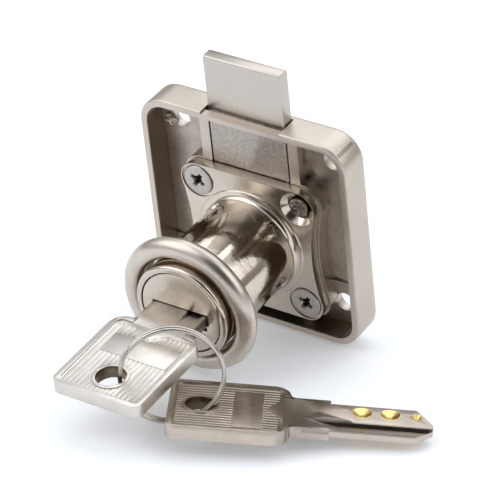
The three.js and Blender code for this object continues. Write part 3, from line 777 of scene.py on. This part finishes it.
def plain_metal(name, light, dark, size, rough_low, rough_high, depth, stretch=(1, 1, 1)):
    made = new_material(name)
    where = place_of(made)
    pattern = grain(made, where, size, 4, stretch)
    colour = blended(made, between(made, pattern, 0, 1), dark, light)
    return finish_metal(made, colour, between(made, pattern, rough_low, rough_high), pattern, depth)


disc_cast = plain_metal("cast_disc_nickel", (0.50, 0.47, 0.44), (0.30, 0.27, 0.245), 0.5, 0.36, 0.52, 0.04)
turned_steel = plain_metal("turned_steel", (0.60, 0.59, 0.58), (0.46, 0.45, 0.44), 0.25, 0.24, 0.36, 0.01)
drawn_steel = plain_metal("drawn_spring_wire", (0.55, 0.55, 0.55), (0.38, 0.38, 0.38), 0.1, 0.2, 0.34, 0.004)
pin_brass = plain_metal("turned_pin_brass", (0.80, 0.60, 0.26), (0.62, 0.43, 0.16), 0.2, 0.2, 0.34, 0.008)
cap_nickel = plain_metal("pressed_cap_nickel", (0.70, 0.66, 0.61), (0.56, 0.52, 0.48), 0.6, 0.16, 0.28, 0.02)
HIDDEN = {
    "drive_disc": disc_cast, "disc_screw": turned_steel,
    "retaining_dowel_1": turned_steel, "retaining_dowel_2": turned_steel,
}
for number in (1, 2, 3):
    HIDDEN[f"key_pin_{number}"] = pin_brass
    HIDDEN[f"driver_pin_{number}"] = pin_brass
    HIDDEN[f"chamber_cap_{number}"] = cap_nickel
for node, finish in HIDDEN.items():
    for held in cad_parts[node].material_slots:
        held.material = finish

# Each spring stands on its cap.
for number in (1, 2, 3):
    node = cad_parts[f"pin_spring_{number}"]
    spring = node.copy()
    spring.data = node.data.copy()
    spring.name = f"chamber_spring_{number}"
    bpy.context.collection.objects.link(spring)
    spring.parent = None
    spring.data.transform(node.matrix_world)
    spring.matrix_world = Matrix.Identity(4)
    modify(spring, "WELD", merge_threshold=0.000002)
    dress(spring, drawn_steel)
    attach(spring, "lock_body")
    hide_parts(f"pin_spring_{number}")
    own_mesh(spring)


# ---- Keys ----
# Two flat dimple keys, blanked from nickel silver. Both faces are alike: a raised border, fine
# pressed lines, a plain panel, three drilled dimples that show the brass, and one milled groove.

BOW_HALF = 8.6
BOW_LENGTH = 19.9
BOW_THICK = 1.2
BLADE_THICK = 1
NECK_HALF = 5.3
NECK_END = 26.5
BLADE_HALF = 4.1
TIP_CORNER = 40.6
KEY_LENGTH = 43.4
TIP_X = 0.9
TIP_HALF = 0.3
BOW_HOLE = 2.6
BOW_HOLE_AT = 5.3
BORDER = 1
RECESS = 0.25
LINE_PITCH = 0.88
LINE_WIDTH = 0.42
LINE_DEPTH = 0.1
PANEL_AT = (10.6, 15.5)
PATCH_AT = 21.4
PANEL_X = (-6, 7)
DIMPLES = ((31.7, 1.65), (36.3, 1.65), (40.6, 0.9))
DIMPLE_X = -1.8
DIMPLE_DEPTH = 0.66


def pin_z(name, radii, z, x, y, sides=48):
    """A round bar or cone along Z."""
    clear()
    bpy.ops.mesh.primitive_cone_add(
        vertices=sides, radius1=radii[0] * MM, radius2=radii[1] * MM, depth=(z[1] - z[0]) * MM,
        location=(x * MM, y * MM, (z[0] + z[1]) / 2 * MM))
    return settle(name)


def face_cutter():
    """What is pressed and milled into one face of a key, as one tool."""
    inner = BOW_HALF - BORDER
    tool = block("press", (-inner, inner), (BORDER, BOW_LENGTH - BORDER), (BOW_THICK - RECESS, 2))
    round_edges(tool, lambda mid, way: abs(way.z) > 0.9, 1.1, 5)
    join(tool, block("mouth", (-4.9, 4.9), (BOW_LENGTH - 3, BOW_LENGTH + 1), (BLADE_THICK, 2)))
    lines = int(inner / LINE_PITCH)
    for number in range(-lines, lines + 1):
        x = number * LINE_PITCH
        comb = block("line", (x - LINE_WIDTH / 2, x + LINE_WIDTH / 2), (BORDER + 0.3, BOW_LENGTH - 1.8),
                     (BOW_THICK - RECESS - LINE_DEPTH, BOW_THICK - RECESS + 0.05))
        choose(comb, "FACE", lambda mid, way: way.z < -0.9)
        bpy.ops.transform.resize(value=(0.35, 1, 1))
        done()
        join(tool, comb)
    cut(tool, block("panel", PANEL_X, PANEL_AT, (0, BOW_THICK - RECESS + 0.08)))
    cut(tool, pin_z("eyelet", (BOW_HOLE + 0.75, BOW_HOLE + 0.55), (0, BOW_THICK - 0.02), 0, BOW_HOLE_AT))
    patch = pin_z("neck_patch", (4.9, 4.9), (0, BLADE_THICK - 0.01), 0, PATCH_AT, 22)
    for point in patch.data.vertices:
        turn = math.atan2(point.co.y - PATCH_AT * MM, point.co.x)
        stretch = 0.94 + 0.1 * math.sin(3 * turn + 1) + 0.07 * math.sin(7 * turn)
        point.co.x *= stretch
        point.co.y = PATCH_AT * MM + (point.co.y - PATCH_AT * MM) * stretch
    cut(tool, patch)
    return tool


def ramp(name, near, far):
    """A six-sided cutter between two four-cornered sections, each (y, [(x, z), ...]) in mm."""
    tool = block(name, (-1, 1), (-1, 1), (-1, 1))
    order = ((-1, -1), (1, -1), (1, 1), (-1, 1))
    for point in tool.data.vertices:
        corner = order.index((round(point.co.x / MM), round(point.co.z / MM)))
        y, section = near if point.co.y < 0 else far
        x, z = section[corner]
        point.co = Vector((x, y, z)) * MM
    return tool


GROOVE = [(2.0, -0.05), (4.6, 0.55), (4.6, 1.5), (1.2, 1.5)]
GROOVE_START = [(1.7, 1), (4.6, 1.02), (4.6, 1.5), (1.4, 1.5)]
CHANNEL = [(-2.3, 0.99), (1.7, 0.66), (1.7, 1.5), (-2.3, 1.5)]
CHANNEL_START = [(-1.1, 1), (-0.9, 1), (-0.9, 1.5), (-1.1, 1.5)]


key = block("key_blank", (-BOW_HALF, BOW_HALF), (0, BOW_LENGTH), (-BOW_THICK, BOW_THICK))
round_edges(key, lambda mid, way: abs(way.z) > 0.9 and mid.y < 1, 1.6, 6)
round_edges(key, lambda mid, way: abs(way.z) > 0.9 and mid.y > BOW_LENGTH - 1, 3, 8)
neck = block("neck", (-NECK_HALF - 1, NECK_HALF + 1), (BOW_LENGTH - 2, NECK_END),
             (-BLADE_THICK, BLADE_THICK))
for side in (-1, 1):
    outer = side * (NECK_HALF + 1)
    waist = block("waist", (outer - 1, outer + 1), (BOW_LENGTH, NECK_END + 1), (-2, 2))
    round_edges(waist, lambda mid, way: abs(way.z) > 0.9 and mid.y < BOW_LENGTH + 1, 0.99, 5)
    cut(neck, waist)
join(key, neck)
blade = block("blade", (-BLADE_HALF, BLADE_HALF), (NECK_END - 1, KEY_LENGTH), (-BLADE_THICK, BLADE_THICK))
for side in (-1, 1):
    choose(blade, "FACE", lambda mid, way: True)
    rise = BLADE_HALF - TIP_HALF - side * TIP_X
    slope = Vector((side * (KEY_LENGTH - TIP_CORNER), rise, 0)).normalized()
    bpy.ops.mesh.bisect(plane_co=Vector((side * BLADE_HALF, TIP_CORNER, 0)) * MM, plane_no=slope,
                        use_fill=True, clear_outer=True)
    done()
join(key, blade)
cut(key, pin_z("bow_hole", (BOW_HOLE, BOW_HOLE), (-3, 3), 0, BOW_HOLE_AT))
for turn in (0, math.pi):
    tools = [face_cutter(), ramp("channel", (24.5, CHANNEL_START), (30.5, CHANNEL)),
             ramp("channel_run", (30.5, CHANNEL), (KEY_LENGTH + 1, CHANNEL)),
             ramp("groove", (22.3, GROOVE_START), (28.5, GROOVE)),
             ramp("groove_run", (28.5, GROOVE), (KEY_LENGTH + 1, GROOVE))]
    for at, radius in DIMPLES:
        tools.append(pin_z("dimple", (0.25 * radius, radius * 1.2),
                           (BLADE_THICK - DIMPLE_DEPTH, BLADE_THICK + 0.12), DIMPLE_X, at))
    for tool in tools:
        tool.data.transform(Matrix.Rotation(turn, 4, "Y"))
        cut(key, tool)
soften(key, 0.07, 40)
smooth(key, 25)


def key_metal(name, place, plating):
    """Satin nickel in the key's own directions, darker on the neck, with brass where the dimples cut
    through; the groove and the bow's hole get painted shade.
    """
    made = new_material(name)
    turn = place.to_euler("XYZ")
    local = add(made, "ShaderNodeMapping", {"Vector": place_of(made), "Location": place.to_translation(),
                                            "Rotation": turn}, vector_type="TEXTURE").outputs[0]
    axes = add(made, "ShaderNodeSeparateXYZ", {"Vector": local})
    along = axes.outputs["Y"]
    side = calc(made, "MULTIPLY", axes.outputs["X"], calc(made, "SIGN", axes.outputs["Z"]))
    drilled = [spot(made, side, along, (DIMPLE_X, at), radius * 1.08) for at, radius in DIMPLES]
    brass = calc(made, "MAXIMUM", calc(made, "MAXIMUM", drilled[0], drilled[1]), drilled[2])
    from_middle = calc(made, "ABSOLUTE", axes.outputs["Z"])
    below = calc(made, "LESS_THAN", from_middle, (BLADE_THICK - 0.02) * MM)
    brass = calc(made, "MULTIPLY", brass, below)
    brass = calc(made, "MULTIPLY", brass, calc(made, "LESS_THAN", side, 0.6 * MM))
    cloud = grain(made, local, 2.5, 4)
    strokes = grain(made, local, 0.14, 3, (1, 0.08, 1))
    nickel = blended(made, between(made, cloud, 0, 1), *plating)
    neck = calc(made, "MULTIPLY", between(made, along, 0, 1, 17.4 * MM, 18.4 * MM),
                between(made, along, 1, 0, 24.4 * MM, 27 * MM))
    nickel_with_painted_shade = blended(made, calc(made, "MULTIPLY", neck, 0.45), nickel, (0.32, 0.28, 0.245))
    # Painted shade: the milled groove is painted darker, and its steep wall near black.
    milled_groove_shade = calc(made, "MULTIPLY", calc(made, "GREATER_THAN", side, 1.25 * MM),
                  between(made, from_middle, 1, 0, 0.45 * MM, 0.8 * MM))
    milled_groove_shade = calc(made, "MULTIPLY", milled_groove_shade, calc(made, "GREATER_THAN", along, 22 * MM))
    groove_wall_shade = calc(made, "MULTIPLY", milled_groove_shade, calc(made, "LESS_THAN", side, 2.05 * MM))
    nickel_with_painted_shade = blended(made, groove_wall_shade, blended(made, milled_groove_shade, nickel_with_painted_shade, (0.34, 0.29, 0.245)), (0.07, 0.058, 0.048))
    # Painted shade: the wall of the bow's hole is coloured dark brown.
    painted_hole_shade = spot(made, axes.outputs["X"], along, (0, BOW_HOLE_AT), BOW_HOLE + 0.04)
    nickel_with_painted_shade = blended(made, painted_hole_shade, nickel_with_painted_shade, (0.17, 0.13, 0.095))
    colour = blended(made, brass, nickel_with_painted_shade, (0.80, 0.57, 0.24))
    satin = between(made, strokes, 0.26, 0.38)
    roughness = calc(made, "SUBTRACT", satin, calc(made, "MULTIPLY", brass, 0.1))
    return finish_metal(made, colour, roughness, strokes, 0.012)


KEY_1_PLACE = Matrix.Translation(Vector((0, -47.8, 0)) * MM)
KEY_2_PLACE = (Matrix.Translation(Vector((7.49, -38.15, -5.91)) * MM)
               @ Matrix.Rotation(math.radians(-61.3), 4, "Z") @ Matrix.Rotation(math.radians(-7.8), 4, "X")
               @ Matrix.Rotation(math.radians(-12.7), 4, "Y"))
FRESH = ((0.70, 0.655, 0.60), (0.62, 0.575, 0.525))
HANDLED = ((0.58, 0.505, 0.435), (0.51, 0.44, 0.375))
for number, place, plating in ((1, KEY_1_PLACE, FRESH), (2, KEY_2_PLACE, HANDLED)):
    piece = key.copy()
    piece.data = key.data.copy()
    piece.name = f"dimple_key_{number}"
    bpy.context.collection.objects.link(piece)
    piece.data.transform(place)
    dress(piece, key_metal(f"key_{number}_nickel_silver", place, plating))
    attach(piece, f"key_{number}")
    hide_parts(f"key_{number}")
bpy.data.objects.remove(key)


# ---- Split ring ----
# Two turns of drawn steel wire, nickel plated, that spring apart to let a key on. The wire's ends
# are cropped square, so each end shows as a small step on the ring.

WIRE_RADIUS = 0.36
RING_RADIUS = 8.5
LAYER = 0.41
RING_START = 146
RING_SWEEP = 712
RING_POINTS = 180
ring_place = (Matrix.Translation(Vector((8.3, -37.1, 0.35)) * MM)
              @ Matrix.Rotation(math.radians(35.6), 4, "Z") @ Matrix.Rotation(math.radians(79.8), 4, "X"))
clear()
bpy.ops.curve.primitive_nurbs_path_add()
wire = bpy.context.object
wire.data.splines.clear()
line = wire.data.splines.new("POLY")
line.points.add(RING_POINTS - 1)
for number, point in enumerate(line.points):
    t = number / (RING_POINTS - 1)
    angle = math.radians(RING_START + t * RING_SWEEP)
    change = min(max((t - 0.47) / 0.06, 0), 1)
    change = change * change * (3 - 2 * change)
    x, y = RING_RADIUS * math.cos(angle) * MM, RING_RADIUS * math.sin(angle) * MM
    point.co = (x, y, LAYER * (2 * change - 1) * MM, 1)
wire.data.dimensions = "3D"
wire.data.bevel_depth = WIRE_RADIUS * MM
wire.data.bevel_resolution = 5
wire.data.use_fill_caps = True
pick(wire)
bpy.ops.object.convert(target="MESH")
wire = settle("split_ring_wire")
wire.data.transform(ring_place)
modify(wire, "WELD", merge_threshold=0.000005)
smooth(wire, 40)
dress(wire, plain_metal("plated_ring_wire", (0.56, 0.51, 0.465), (0.50, 0.455, 0.41), 1.5, 0.2, 0.28, 0.003))
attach(wire, "split_ring")
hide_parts("split_ring")
